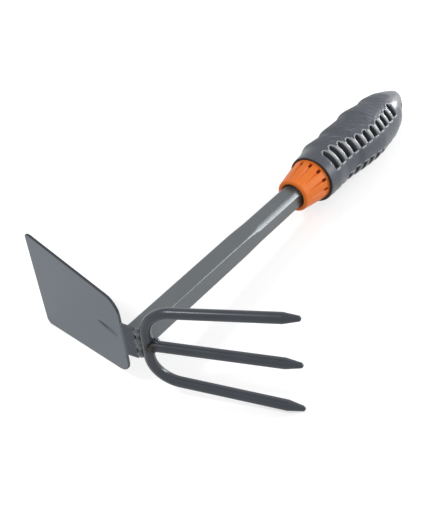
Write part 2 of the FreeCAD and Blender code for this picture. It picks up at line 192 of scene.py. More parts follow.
# %% [markdown]
# The outer prongs are one rod, bent twice on a press. The path is worked out from its curvature: the
# heading is the sum of the curvature along the rod, and the place is the sum of the headings. That
# way straight runs and bends join without a kink. Welding the middle prong on scorches the enamel
# near its foot, so each point also stores how near the foot it is.

# %% The bent rod of the outer prongs
BEND_RADIUS = 17.0
SPLAY = math.radians(6.2)
HALF_WIDTH = 22.8
SCORCH = BOW_CENTRE + DOWN * 2.6 - BEHIND * 3.2 + ACROSS * 0.4
SCORCH_FULL = 2.0
SCORCH_OVER = 5.5


def scorched(grid):
    """1 round the hottest place of the foot's weld and fading to 0 away from it."""
    return 1 - ease(np.linalg.norm(grid - SCORCH, axis=-1), SCORCH_FULL, SCORCH_OVER)


turn = math.pi / 2 - SPLAY
set_back = BEND_RADIUS * math.tan(turn / 2)
bend_start = HALF_WIDTH - set_back
bend_end = bend_start + BEND_RADIUS * turn
half_length = bend_end + REACH / math.cos(SPLAY) - set_back
fine = np.linspace(0, half_length, 8001)
heading = np.cumsum(np.where((fine > bend_start) & (fine < bend_end), fine[1] / BEND_RADIUS, 0))
along_fine = np.cumsum(np.sin(heading)) * fine[1]
across_fine = np.cumsum(np.cos(heading)) * fine[1]
stations = np.concatenate([
    np.linspace(0, bend_start, 6)[:-1],
    np.linspace(bend_start, bend_end, 44)[:-1],
    np.linspace(bend_end, half_length - POINT - 1.5, 24),
    half_length - from_tip_rows()[::-1],
])
signed = np.concatenate([-stations[:0:-1], stations])
away = np.abs(signed)
centre = (
    BOW_CENTRE
    + np.interp(away, fine, along_fine)[:, None] * DOWN
    + (np.sign(signed) * np.interp(away, fine, across_fine))[:, None] * ACROSS
)
facing = np.interp(away, fine, heading) * np.sign(signed)
tangent = np.cos(facing)[:, None] * ACROSS + np.sin(facing)[:, None] * DOWN
side = np.broadcast_to(BEHIND, tangent.shape)
grid = tube_of(centre, tangent, side, rod_radius(half_length - away), 64)
bow = skin("bent_rod", grid, "prong_bow", "coated_prongs", stored={"darker": scorched(grid)})
print("rod cut", round(2 * half_length), "mm long before bending")

# %% [markdown]
# The middle prong is a straight piece of the same rod. Its foot stands in the weld on the bow, so
# the skin starts a little inside the bow, where it can't be seen.

# %% The middle prong
FOOT = 1.2
run = np.concatenate([np.linspace(FOOT, REACH - POINT - 1.5, 40), REACH - from_tip_rows()[::-1]])
centre = BOW_CENTRE + run[:, None] * DOWN
tangent = np.broadcast_to(DOWN, centre.shape)
side = np.broadcast_to(BEHIND, centre.shape)
grid = tube_of(centre, tangent, side, rod_radius(REACH - run), 64)
middle = skin("straight_rod", grid, "middle_prong", "coated_prongs", stored={"darker": scorched(grid)})

# %% [markdown]
# The shaft is square tube whose corners are pressed flat before it enters the collar. Its section is
# four flats with a corner between each two. A corner opens from a quarter round to nearly flat over
# the pressed stretch, and takes more of the flats as it does. Rows are closest together there.

# %% The square tube
TUBE_LENGTH = 235.0
HALF_TUBE = 6.0
WALL = 1.5
CORNER = 1.7
CORNER_SHRINK = 0.586
PRESS_START = 90.0
PRESS_RUN = 15.0
PRESS_BULGE = 0.25
PRESS_WIDENS = 0.65


def tube_section(x, share, inset):
    """Flats, and arcs over a chord: half the chord times (sin a, cos a - cos open) / sin open.

    The chord shrinks by 2 less the square root of 2 for each millimetre of inset.
    """
    pressed = np.clip((x - PRESS_START) / PRESS_RUN, 0, 1)
    half = HALF_TUBE + PRESS_BULGE * pressed - inset
    leg = CORNER + PRESS_WIDENS * pressed - CORNER_SHRINK * inset
    opening = np.radians(45 - 38 * pressed)
    quarter = np.floor(share * 4)
    t = share * 4 - quarter
    flat = np.sin(np.clip(4 * t - 1, -1, 1) * math.pi / 2)
    a = np.clip(4 * t - 3, -1, 1) * opening
    along = leg * np.sin(a) / np.sin(opening) / 2
    outward = leg * (np.cos(a) - np.cos(opening)) / np.sin(opening) / 2
    u = np.where(t > 0.5, half - leg / 2 - along + outward, half)
    v = np.where(t > 0.5, half - leg / 2 + along + outward, (half - leg) * flat)
    spin = quarter * np.pi / 2
    return u * np.cos(spin) - v * np.sin(spin), u * np.sin(spin) + v * np.cos(spin)


quarter = np.concatenate([np.linspace(0, 0.5, 14, endpoint=False), np.linspace(0.5, 1, 18, endpoint=False)])
share = ((quarter + np.arange(4)[:, None]) / 4).ravel()
reach = np.concatenate([
    np.linspace(0, 86, 30)[:-1], np.linspace(86, 108, 45)[:-1], np.linspace(108, TUBE_LENGTH, 40),
])
shells = []
for inset, order in ((0.0, reach), (WALL, reach[::-1])):
    x = order[:, None] + 0 * share[None, :]
    y, z = tube_section(x, share[None, :] + 0 * x, inset)
    slant = CUT_AT - y * math.tan(CUT)
    shells.append(np.stack([slant + x * (TUBE_LENGTH - slant) / TUBE_LENGTH, y, z], -1))
tube = skin("square_tube", np.concatenate(shells), "shaft_tube", "coated_tube", ring=True, sharp=30)

# %% [markdown]
# The blade is stamped from 1.5 mm plate and bent at the neck. Seen flat, its outline is a polygon
# with rounded corners. The photographed one sits askew by under a millimetre, which is kept.

# %% The blade's outline
BLADE = 75.6
TAB_HALF = 10.75


def rounded_outline(corners, per_corner, spacing):
    """Points round a polygon whose corners (s, w, radius) are arcs; s runs up the blade, w across."""
    pts = np.array([c[:2] for c in corners], float)
    radius = np.array([c[2] for c in corners], float)
    back = np.roll(pts, 1, 0) - pts
    ahead = np.roll(pts, -1, 0) - pts
    back /= np.linalg.norm(back, axis=1)[:, None]
    ahead /= np.linalg.norm(ahead, axis=1)[:, None]
    half = np.arccos(np.clip((back * ahead).sum(1), -1, 1)) / 2
    cut = radius / np.tan(half)
    inward = (back + ahead) / np.linalg.norm(back + ahead, axis=1)[:, None]
    middle = pts + inward * (radius / np.sin(half))[:, None]
    start = pts + back * cut[:, None]
    end = pts + ahead * cut[:, None]
    out = []
    for i in range(len(pts)):
        a = start[i] - middle[i]
        b = end[i] - middle[i]
        sweep = np.linspace(0, math.atan2(a[0] * b[1] - a[1] * b[0], a @ b), per_corner)
        out.append(middle[i] + np.outer(np.cos(sweep), a) + np.outer(np.sin(sweep), [-a[1], a[0]]))
        following = start[(i + 1) % len(pts)]
        count = max(2, int(np.linalg.norm(following - end[i]) / spacing))
        out.append(end[i] + np.linspace(0, 1, count + 1)[1:-1, None] * (following - end[i]))
    return np.concatenate(out)


corners = [
    (-TAB, TAB_HALF, 0.4), (0.0, TAB_HALF, 1.2), (0.0, 24.7, 10.3), (BLADE + 0.4, 33.7, 3.0),
    (BLADE, -32.9, 3.4), (0.0, -26.1, 9.8), (0.0, -TAB_HALF, 1.2), (-TAB, -TAB_HALF, 0.4),
]
outline = rounded_outline(corners, 16, 0.7)
ahead = np.roll(outline, -1, 0) - np.roll(outline, 1, 0)
outward = np.stack([ahead[:, 1], -ahead[:, 0]], -1)
outward /= np.linalg.norm(outward, axis=1)[:, None]
outward *= np.sign((outward * (outline - outline.mean(0))).sum())
print("outline of", len(outline), "points from", outline.min(0).round(1), "to", outline.max(0).round(1))

# %% [markdown]
# A stamped dart stiffens the neck: a slender dent that also swells out of the rear face, struck a
# little askew. The sheet is worked out flat, dart and all, and then bent by carrying it along the
# profile of the neck.

# %% The dart and the bend
SPINE_ASIDE = 0.2
DART_DEPTH = 1.1
DART_END = 20.6
DART_SLOPE = 0.104
BEND_OUTSIDE = 4.0


def dart_depth(s, w):
    """A parabola across the dart, times how far s is between its point and its round end."""
    share = np.clip((DART_END - s) / 12.0, 0, 1) ** 0.5 * ease(s, 1.6, 8.0)
    off = (w - SPINE_ASIDE - DART_SLOPE * (s - 4.2)) / (0.3 + 1.7 * share)
    return DART_DEPTH * share * np.clip(1 - off ** 2, 0, None)


def bent_sheet(s, w, depth):
    """Carries the flat sheet along the profile: straight tab, bend of the neck, straight blade."""
    fine = np.linspace(-TAB, BLADE, 4001)
    step = fine[1] - fine[0]
    length = (BEND_OUTSIDE - PLATE / 2) * (CUT + LEAN)
    heading = CUT - (CUT + LEAN) * np.clip((fine + length / 2) / length, 0, 1)
    px = np.cumsum(-np.sin(heading)) * step
    py = np.cumsum(np.cos(heading)) * step
    far = NECK + UP * BLADE + PLATE / 2 * np.array([math.cos(LEAN), -math.sin(LEAN), 0])
    local = np.interp(s, fine, heading)
    normal = np.stack([np.cos(local), np.sin(local), 0 * local], -1)
    base_x = far[0] + np.interp(s, fine, px) - px[-1]
    base_y = far[1] + np.interp(s, fine, py) - py[-1]
    return np.stack([base_x, base_y, w], -1) + normal * (depth - PLATE / 2)[..., None]


print("dart at 4, 8, 12 and 16 mm:", dart_depth(np.array([4, 8, 12, 16]), 0.8).round(2).tolist(), "mm deep")

# %% [markdown]
# The skin of the blade goes from the middle line of the front face out to the outline, round the
# edge and back along the rear face. The cutting edge is ground thin from behind. Rows are closest
# together near the middle line, where the dart is. On that line the columns of both faces start
# from the same points, 0.8 mm apart, which are merged, so no seam and no fan is left. A share of
# painted shade is stored along the edges, on the tab and in the dart.

# %% The blade as a bent sheet
EDGE_ROUND = 0.35
SPINE_STEP = 0.8
GROUND = 4.0
GROUND_THICKNESS = 0.7
spine_s = np.round(np.clip(outline[:, 0], -TAB + 3, BLADE - 8) / SPINE_STEP) * SPINE_STEP
spine = np.stack([spine_s, SPINE_ASIDE + 0 * spine_s], -1)
inner = outline - outward * EDGE_ROUND
fan = np.concatenate([np.linspace(0, 0.16, 17)[:-1], 0.16 + 0.84 * np.linspace(0, 1, 26) ** 0.8])
rolled = np.linspace(0, math.pi / 2, 7)[1:]
flat = spine + (inner - spine) * fan[:, None, None]
edge = inner + outward * (EDGE_ROUND * np.sin(rolled))[:, None, None]
sheet = np.concatenate([flat, edge])
drop = np.concatenate([0 * fan, EDGE_ROUND * (1 - np.cos(rolled))])[:, None]
ground = (PLATE - GROUND_THICKNESS) * np.clip((sheet[..., 0] - (BLADE - GROUND)) / GROUND, 0, 1)
dent = dart_depth(sheet[..., 0], sheet[..., 1])
front = bent_sheet(sheet[..., 0], sheet[..., 1], drop + dent)
rear = bent_sheet(sheet[..., 0], sheet[..., 1], PLATE - drop * (1 - ground / 2) - ground + dent)
from_edge = np.linalg.norm(sheet - outline, axis=-1)
# painted shade: a band along the blade's edges, the tab below the bend, and the dart's groove
rim = near_to(from_edge, 0, 0.5) * ease(sheet[..., 0], -1.5, 1.0)
shaded = np.maximum(rim, 0.8 * (1 - ease(sheet[..., 0], -2.0, 3.0)))
shaded = np.maximum(shaded, ease(dent, 0.02, 0.3) * (0.2 + 0.6 * ease(sheet[..., 0], 9.0, 16.0)))
blade = skin(
    "stamped_blade", np.concatenate([front, rear[::-1]]), "hoe_blade", "coated_blade", sharp=38,
    stored={"darker": np.concatenate([shaded, shaded[::-1]])},
)
form = bmesh.new()
form.from_mesh(blade.data)
bmesh.ops.delete(form, geom=list(form.verts)[-2:], context="VERTS")
bmesh.ops.remove_doubles(form, verts=form.verts, dist=1e-7)
form.to_mesh(blade.data)
form.free()
print("blade closed along its middle line:", len(blade.data.polygons), "faces")

# %% [markdown]
# A weld bead is laid drop by drop, so its surface is a row of overlapping crescents. The bead here is
# a circle carried along a line, and its radius swells once per drop, with the swell bent backwards
# round the bead. Slow waves make it uneven, as a bead laid by hand is. Where the welder left a gap
# between two drops, the bead has a waist and the shade inside it is stored on its points. A bead that
# fills a gap between two pieces is thinner from front to back than it is wide.

# %% A weld bead
BEAD_ROWS = 90
BEAD_COLUMNS = 48


def weld_bead(name, line, radius, drop, seed, node, waist=0.0, lump=0.0, thin=1.0):
    """radius (0.9 + 0.1 |sin(pi (s / drop + 0.3 cos a))| + slow waves), less the waist at half way."""
    line = np.asarray(line, float)
    length = np.concatenate([[0], np.cumsum(np.linalg.norm(np.diff(line, axis=0), axis=1))])
    s = np.linspace(0, length[-1], BEAD_ROWS)
    centre = np.stack([np.interp(s, length, line[:, k]) for k in range(3)], -1)
    tangent = np.gradient(centre, axis=0)
    tangent /= np.linalg.norm(tangent, axis=1)[:, None]
    side = BEHIND - (tangent @ BEHIND)[:, None] * tangent
    side /= np.linalg.norm(side, axis=1)[:, None]
    angle = np.linspace(0, 2 * np.pi, BEAD_COLUMNS, endpoint=False)
    drops = np.abs(np.sin(np.pi * (s[:, None] / drop + 0.3 * np.cos(angle) + seed * 0.37)))
    slow = 0.06 * np.sin(s[:, None] * 1.9 / drop + seed) + 0.05 * np.sin(3 * angle + s[:, None] + seed)
    end = np.minimum(s, length[-1] - s)
    cap = np.sqrt(np.clip(1 - (1 - np.clip(end / radius, 0, 1)) ** 2, 0.002, 1))
    gap = near_to(s, length[-1] / 2, 1.9)
    swell = cap * (1 - waist * gap) * (1 + lump * near_to(s, length[-1] * 0.9, 2.0))
    wide = radius * swell[:, None] * (0.9 + 0.1 * drops + slow)
    other = np.cross(tangent, side)
    ring = thin * np.cos(angle)[None, :, None] * side[:, None] + np.sin(angle)[None, :, None] * other[:, None]
    grid = centre[:, None] + wide[..., None] * ring
    # painted shade in the pit at the bead's waist, and the scorch near the foot of the middle prong
    shaded = np.maximum(np.sqrt(waist) * gap[:, None], scorched(grid))
    return skin(name, grid, node, "coated_welds", sharp=60, stored={"darker": shaded + 0 * wide})


print("each bead is", BEAD_ROWS, "rows of", BEAD_COLUMNS, "points")

# %% [markdown]
# Two beads join the flanks of the tube to the back of the tab. Two more fill the gap between the end
# of the tab and the bow, and each has a pit in its middle where the metal didn't close. One runs
# along the tube's lower edge behind the bow.

# %% The beads between plate, tube and bow
BOW_BEAD_REACH = 10.2
BEADS_CROSS = 0.8
SEAM_HALF = 5.8
beads = []
gap_start = TAB_END + TAB_BEHIND * PLATE / 2
to_bow = BOW_CENTRE - gap_start
gap_middle = gap_start + to_bow * (1 - ROD / 2 / np.linalg.norm(to_bow)) / 2
for sign, place in ((1, "upper"), (-1, "lower")):
    flank = ACROSS * (sign * HALF_TUBE) + TAB_BEHIND * PLATE
    beads.append(weld_bead(
        "neck_bead_" + place, [NECK + flank, TAB_END + flank], radius=1.3, drop=1.7, seed=sign + 2,
        node="neck_weld_" + place,
    ))
    inner_end = gap_middle - ACROSS * (sign * BEADS_CROSS)
    outer_end = gap_middle + ACROSS * (sign * BOW_BEAD_REACH)
    beads.append(weld_bead(
        "bow_bead_" + place, [inner_end, outer_end], radius=2.5, drop=2.6, seed=sign + 5,
        node="bow_weld_" + place, waist=0.5, thin=0.6,
    ))
under_tube = np.array([BOW_CENTRE[0] + ROD / 2, -HALF_TUBE, 0])
seam = (under_tube + BOW_CENTRE + BEHIND * (ROD / 2)) / 2 + DOWN * 0.5
half_seam = ACROSS * SEAM_HALF
beads.append(weld_bead(
    "seam_bead", [seam - half_seam, seam + half_seam], radius=2.1, drop=1.7, seed=3, node="seam_weld",
))

# %% [markdown]
# The foot of the middle prong is welded all the way round: each bead is an arc over one half of the
# rod, and the back one ends in a lump where the welder stopped. A row below gives an arc's side, its
# first and last angle in degrees, how thick it is, how far it slides down the rod, and its lump.

# %% The beads round the foot of the middle prong
FOOT_RING = 2.5
FOOT_DROP = 2.4
foot_arcs = ((1, "back", -80, 105, 1.8, 2.6, 0.3), (-1, "front", -85, 65, 1.5, 1.4, 0.0))
for sign, place, first, last, thick, slide, lump in foot_arcs:
    a = np.radians(np.linspace(first, last, 31))
    ring = (
        BOW_CENTRE + DOWN * (FOOT_DROP + slide * np.sin(a) ** 2)[:, None]
        + BEHIND * (sign * FOOT_RING * np.cos(a))[:, None] + ACROSS * (FOOT_RING * np.sin(a))[:, None]
    )
    beads.append(weld_bead(
        "foot_bead_" + place, ring, radius=thick, drop=1.6, seed=sign + 8, node="prong_weld_" + place,
        lump=lump,
    ))

# %% [markdown]
# The collar is a moulded cone. Thirteen windows sit near its wide end, and from each a flute runs
# towards the nose and fades out. Both are dents: the radius at a point is the cone's radius less the
# dent, and the dent depends on how far round the point is from the nearest window's middle.

# %% The collar's dents
COLLAR_START = 144.5
COLLAR_LENGTH = 20.8
NOSE_RADIUS = 10.5
FLARE = 3.4
WINDOWS = 13
WINDOW_PITCH = 2 * math.pi / WINDOWS
FIRST_WINDOW = math.radians(9.0)
WINDOW_DEPTH = 1.7
FLUTE_DEPTH = 0.95
FLUTE_START = 2.6
FLUTE_END = 16.2


def cone_radius(along):
    """Radius of the plain cone, in mm, so far from the nose."""
    return NOSE_RADIUS + FLARE * along / COLLAR_LENGTH


def collar_dent(along, angle):
    """Depth of a V-shaped flute, or of a square window with eased edges, whichever is deeper."""
    off = (angle - FIRST_WINDOW + WINDOW_PITCH / 2) % WINDOW_PITCH - WINDOW_PITCH / 2
    aside = np.abs(off) * cone_radius(along)
    run = np.clip((along - FLUTE_START) / (FLUTE_END - FLUTE_START), 0, 1)
    shape = run ** 0.6 * (along < FLUTE_END + 0.2) * np.clip(1 - aside / (0.4 + 0.8 * run), 0, 1)
    past = np.maximum(aside - 1.0, np.abs(along - 17.6) - 1.6)
    return np.maximum(FLUTE_DEPTH * shape, WINDOW_DEPTH * (1 - ease(past, -0.2, 0.1)))


columns = np.concatenate([
    np.linspace(-0.5, -0.2, 5)[:-1], np.linspace(-0.2, 0.2, 21), np.linspace(0.2, 0.5, 5)[1:-1],
])
angle = (columns + np.arange(WINDOWS)[:, None]).ravel() * WINDOW_PITCH + FIRST_WINDOW
along = np.concatenate([np.linspace(1.3, 15.2, 40)[:-1], np.linspace(15.2, 20.5, 38)])[:, None]
dent = collar_dent(along, angle)
print("deepest flute", dent[along[:, 0] < 15.5].max().round(2), "and window", dent.max().round(2), "mm")

# %% [markdown]
# The skin of the collar runs along the cone, over the rim, back through the bore and out round the
# eased lip of the nose. The depth of the dents is stored, because less light gets down into them,
# and the lip of the bore, which is in the tube's shadow, is stored as a dent too.

# %% The collar
LIP = 1.3
SHADE_OF_BORE = 1.1
lip = np.linspace(math.pi / 2, 0, 9)[:-1]
turned = [(LIP * (1 - math.sin(a)), cone_radius(LIP) - LIP * (1 - math.cos(a))) for a in lip]
nose = np.array([(0.2, 8.0), (0.0, 8.3), (0.0, 9.0)] + turned)
bore = np.array([
    (20.68, 13.86), (20.8, 13.7), (20.8, 9.9), (20.6, 9.75), (2.8, 9.75), (2.6, 9.5), (2.6, 7.9),
    (2.4, 7.8), (0.6, 7.8),
])
radius = np.concatenate([nose[:, 1:] + 0 * angle, cone_radius(along) - dent, bore[:, 1:] + 0 * angle])
place = np.concatenate([nose[:, :1], along, bore[:, :1]]) + 0 * radius
grid = np.stack([COLLAR_START + place, -radius * np.sin(angle), radius * np.cos(angle)], -1)
depth = np.zeros(radius.shape)
# painted shade on the lip of the bore, stored as a depth
depth[:2] = SHADE_OF_BORE
depth[len(nose):len(nose) + len(along)] = dent
collar = skin(
    "fluted_collar", grid, "collar", "orange_collar", ring=True, sharp=50, stored={"painted_shade_depth_mm": depth},
)

# %% [markdown]
# The grip's section is two half ellipses: one for the finger side, one for the palm side, with the
# same width. Their heights change along the grip, and those changes are the finger grooves. Each
# row of the table gives a share of the length, then shares of the finger side's height, the palm
# side's and the half width. The shares run straight from row to row and are then smoothed over a
# few millimetres, as a polished mould is.

# %% The grip's form
GRIP_START = 164.5
GRIP_LENGTH = 112.4
FINGER_SIDE = 19.3
PALM_SIDE = 19.0
FLANK = 18.2
BUTT_RISE = 4.0
BUTT_RISE_FROM = 0.72
BUTT = 6.2
GROOVE_POLISH = 1.8
POLISH = 7.0
STATIONS = np.array([
    (0.000, 0.775, 0.830, 0.841), (0.095, 0.825, 0.842, 0.874), (0.165, 0.990, 0.800, 0.890),
    (0.279, 0.860, 0.842, 0.896), (0.325, 0.974, 0.915, 0.929), (0.468, 0.880, 0.995, 0.984),
    (0.524, 0.995, 1.000, 1.000), (0.668, 0.808, 0.884, 0.912), (0.722, 0.907, 0.832, 0.896),
    (0.802, 0.835, 0.690, 0.800), (0.889, 0.655, 0.410, 0.600), (0.955, 0.450, 0.168, 0.412),
    (1.000, 0.310, 0.065, 0.300),
])


def smoothed(shares, column, width):
    """The straight stretches of one column, averaged under a bell as wide as given, in mm."""
    fine = np.linspace(-0.1, 1.1, 2401)
    value = np.interp(fine, STATIONS[:, 0], STATIONS[:, column])
    slope = (STATIONS[-1, column] - STATIONS[-2, column]) / (STATIONS[-1, 0] - STATIONS[-2, 0])
    value = np.where(fine > 1, STATIONS[-1, column] + slope * (fine - 1), value)
    slope = (STATIONS[1, column] - STATIONS[0, column]) / (STATIONS[1, 0] - STATIONS[0, 0])
    value = np.where(fine < 0, STATIONS[0, column] + slope * fine, value)
    size = int(width / GRIP_LENGTH / (fine[1] - fine[0])) // 2 * 2 + 1
    bell = np.hanning(size + 2)[1:-1]
    smooth = np.convolve(np.pad(value, size // 2, mode="edge"), bell / bell.sum(), mode="valid")
    return np.interp(shares, fine, smooth)


def section_points(along, degrees):
    """y and z of the section at along mm; 0 degrees is the palm's spine, 180 the finger side."""
    share = along / GRIP_LENGTH
    rise = BUTT_RISE * np.clip((share - BUTT_RISE_FROM) / (1 - BUTT_RISE_FROM), 0, 1) ** 2
    finger = FINGER_SIDE * smoothed(share, 1, GROOVE_POLISH) - rise
    palm = PALM_SIDE * smoothed(share, 2, POLISH) + rise
    width = FLANK * smoothed(share, 3, POLISH)
    a = np.radians(degrees)
    height = np.where(np.cos(a) < 0, finger[:, None], palm[:, None])
    return rise[:, None] - height * np.cos(a), width[:, None] * np.sin(a)


y, z = section_points(np.linspace(0, 107, 200), np.linspace(0, 350, 36))
print("grip at most", (y.max() - y.min()).round(1), "mm thick and", (z.max() - z.min()).round(1), "wide")

# %% [markdown]
# Two rows of eleven slots run beside the palm's spine, cut square at the spine and round at the
# flank. In the photograph the middle of the lower row comes nearer the spine, which is kept.
# The distance to the nearest slot's edge is worked out for the whole grid at once. The grid has two
# columns to a degree where the slots of each row begin, and more rows along the edge of each slot.

# %% Where the slots are
SLOTS = 11
SLOT_REACH = 80 * np.array([1.0, 0.985, 0.90, 0.815, 0.73, 0.69, 0.667, 0.667, 0.69, 0.72, 0.785])
SLOT_FIRST = 10.3
SLOT_PITCH = 6.87
SLOT_HALF = 1.4
SLOT_CORNER = 0.3
UPPER_SPINE = 29.0
LOWER_SPINE = np.array([29.0, 22.0, 13.0, 9.0, 8.0, 8.0, 9.0, 13.0, 22.0, 29.0, 29.0])


def slot_place(along, degrees, radius):
    """Offset along from the nearest slot, mm past its spine end, its length, distance to its edge."""
    nearest = np.clip(np.round((along - SLOT_FIRST) / SLOT_PITCH), 0, SLOTS - 1).astype(int)
    u = along - (SLOT_FIRST + SLOT_PITCH * nearest)
    spine = np.where(degrees < 0, LOWER_SPINE[nearest], UPPER_SPINE)
    v = np.radians(np.abs(degrees) - spine) * radius
    reach = np.radians(SLOT_REACH[nearest] - spine) * radius
    corner = np.where(v > reach / 2, SLOT_HALF, SLOT_CORNER)
    a = np.abs(u) - (SLOT_HALF - corner)
    b = np.abs(v - reach / 2) - (reach / 2 - corner)
    outside = np.hypot(np.maximum(a, 0), np.maximum(b, 0))
    return u, v, reach, outside + np.minimum(np.maximum(a, b), 0) - corner


aside = np.array([0.7, 1.05, 1.25, 1.37, 1.47, 1.57, 1.7, 1.85, 2.05, 2.3, 2.6, 3.0])
offsets = np.concatenate([[-SLOT_PITCH / 2], -aside[::-1], [0], aside])
slot_rows = (SLOT_FIRST + SLOT_PITCH * np.arange(SLOTS)[:, None] + offsets).ravel()
body_x = np.concatenate([
    np.linspace(0.7, slot_rows[0], 14)[:-1],
    slot_rows,
    np.linspace(slot_rows[-1], GRIP_LENGTH - BUTT, 50)[1:],
])
halves = [
    np.concatenate([
        np.linspace(0, first, 3 + int(first / 4))[:-1],
        np.linspace(first, last, int((last - first) * 2))[:-1],
        np.linspace(last, 84, int(91 - last))[:-1],
        np.linspace(84, 180, 36),
    ])
    for first, last in ((25, 32), (5, 31))
]
degrees = np.concatenate([halves[0], -halves[1][-2:0:-1]])
y, z = section_points(body_x, degrees)
radius = np.hypot(y, z)
offset, past_spine, slot_length, distance = slot_place(body_x[:, None], degrees + 0 * radius, radius)
print("grip grid", len(body_x), "by", len(degrees), "with", (distance < 0).sum(), "points in slots")

# %% [markdown]
# Inside a slot the skin drops to its floor. The ribs between the slots are rounded over by up to a
# millimetre, and carry a painted highlight, brightest a little past half way along. A thin raised rim
# follows the round ends, and a short ledge closes each slot at the spine. Rims and ledges carry a
# painted highlight too, and the slots' floors painted shade.

# %% The slots, ribs and rims
SLOT_FLOOR = 10.8
RIM_HEIGHT = 0.26
LEDGE_HEIGHT = 0.2
sunk = 1 - ease(distance, -0.3, 0.02)
beside = ease(past_spine, -0.2, 0.6) * (1 - ease(past_spine, slot_length - 2.0, slot_length - 0.4))
rounded = np.clip(1 - distance / 2.0, 0, 1) ** 2 * beside * (distance > 0)
# the rims and the ledges below also carry a painted highlight through their stored share
rim = near_to(distance, 0.5, 0.32) * ease(past_spine, slot_length - 2.6, slot_length - 0.6)
# painted shade on the slots' floors
dark = 1 - ease(distance, -1.15, -0.35)
ledge = near_to(past_spine, -0.55, 0.4) * (1 - ease(np.abs(offset), 1.6, 2.2))
last_slot = SLOT_FIRST + (SLOTS - 1) * SLOT_PITCH
between = (ease(body_x, SLOT_FIRST, SLOT_FIRST + 2) - ease(body_x, last_slot - 2, last_slot))[:, None]
# painted highlight on the ribs' crowns, brightest a little past half way along
highlight_along = 0.35 + 0.65 * near_to(past_spine, 0.6 * slot_length, 0.32 * slot_length)
painted_rib_highlight = beside * (1 - ease(np.abs(np.abs(offset) - SLOT_PITCH / 2), 0.8, 1.7)) * between * highlight_along
open_radius = radius - rounded + RIM_HEIGHT * rim + LEDGE_HEIGHT * ledge
wanted = open_radius + (np.minimum(SLOT_FLOOR, radius - 0.5) - open_radius) * sunk
body = np.stack([GRIP_START + body_x[:, None] + 0 * y, y * wanted / radius, z * wanted / radius], -1)
print("slots up to", (radius - wanted).max().round(1), "mm deep")

# %% [markdown]
# The grip is closed like a sock: from the blind end of its bore, out through the mouth, over the
# rim, along the outside and in to the middle of the butt, which is rounded like a quarter ellipse.

# %% The grip's skin
BUTT_DRAWN_IN = 0.86
MEAN_RADIUS = 17.5
t = np.linspace(0, math.pi / 2, 20)[1:]
dome_y, dome_z = section_points(GRIP_LENGTH - BUTT + BUTT * np.sin(t), degrees)
shrink = (1 - BUTT_DRAWN_IN * (1 - np.cos(t)))[:, None]
dome_x = GRIP_START + GRIP_LENGTH - BUTT * (1 - np.sin(t))[:, None] + 0 * dome_y
dome = np.stack([dome_x, BUTT_RISE + (dome_y - BUTT_RISE) * shrink, dome_z * shrink], -1)
mouth_y, mouth_z = section_points(np.zeros(3), degrees)
eased = 1 - np.array([0.75, 0.42, 0.12])[:, None] / np.hypot(mouth_y, mouth_z)
mouth_x = GRIP_START + np.array([0.0, 0.04, 0.25])[:, None] + 0 * mouth_y
mouth = np.stack([mouth_x, mouth_y * eased, mouth_z * eased], -1)
recess = np.array([
    (238.4, 1.0), (238.4, 9.5), (238.3, 9.75), (168.05, 9.75), (167.85, 9.9), (167.85, 13.9),
    (167.75, 14.05), (164.9, 14.05), (164.62, 14.15),
])
a = np.radians(degrees)
inside = np.stack([
    recess[:, :1] + 0 * a, -recess[:, 1:] * np.cos(a), recess[:, 1:] * np.sin(a),
], -1)
grip_grid = np.concatenate([inside, mouth, body, dome])
rows_before = len(inside) + len(mouth)


def on_body(values):
    """Values of the body's rows, and zero on the rows before and after it."""
    return np.pad(values, ((rows_before, len(dome)), (0, 0)))


# painted shade on the face of the mouth
mouth_painted_shade = np.zeros(grip_grid.shape[:2])
mouth_painted_shade[:rows_before] = 1
held = ease(past_spine, slot_length + 1.0, slot_length + 2.5)
hatched = on_body(held * (ease(body_x, 10, 20) - ease(body_x, 84, 95))[:, None])
# stored marks: painted highlights on ribs and rims, painted shade in the slots and on the mouth's face
stored = {
    "sunk": on_body(dark), "rim": on_body(np.maximum(rim, ledge)), "painted_rib_highlight": on_body(painted_rib_highlight),
    "mouth": mouth_painted_shade, "hatched": hatched, "along_mm": grip_grid[..., 0] - GRIP_START,
    "round_mm": np.radians(degrees) * MEAN_RADIUS + 0 * hatched,
}
grip = skin("slotted_grip", grip_grid, "grip", "grip_plastic", sharp=50, stored=stored)

# %% [markdown]
# The hanging hole goes through the butt from the palm to the finger side, and opens out by 20
# degrees where it meets the surface. It is cut out of the finished skin by a tool of its own shape,
# which is then thrown away. The tool's points carry the shade of the hole's wall, and leave it there.

# %% The hanging hole
HOLE_FROM_BUTT = 13.4
HOLE_SHADE = 0.8
HOLE_AT = GRIP_START + GRIP_LENGTH - HOLE_FROM_BUTT
profile = np.array([
    (-16.3, 7.99), (-6.69, 4.5), (-6.0, 4.46), (11.0, 4.46), (11.63, 4.5), (22.2, 8.35),
])
a = np.linspace(0, 2 * np.pi, 64, endpoint=False)
drill_grid = np.stack([
    HOLE_AT + profile[:, 1:] * np.cos(a), profile[:, :1] + 0 * a, profile[:, 1:] * np.sin(a),
], -1)
# painted shade on the hole's wall, stored under the mouth's mark
shade = np.full(drill_grid.shape[:2], HOLE_SHADE)
drill = surface("drill", drill_grid, sharp=30, stored={"mouth": shade})
cut = grip.modifiers.new("hole", "BOOLEAN")
cut.operation = "DIFFERENCE"
cut.object = drill
bpy.context.view_layer.update()
bored = bpy.data.meshes.new_from_object(grip.evaluated_get(bpy.context.evaluated_depsgraph_get()))
grip.modifiers.clear()
before = len(grip.data.polygons)
grip.data = bored
grip.data.set_sharp_from_angle(angle=math.radians(50))
bpy.data.objects.remove(drill)
print("grip", before, "faces before the hole and", len(grip.data.polygons), "after")

# %% [markdown]
# The camera stands where the photograph was taken from: above the head and to the prongs' side, with
# a longish lens. Its place and turn were worked out from the tool's own corners.

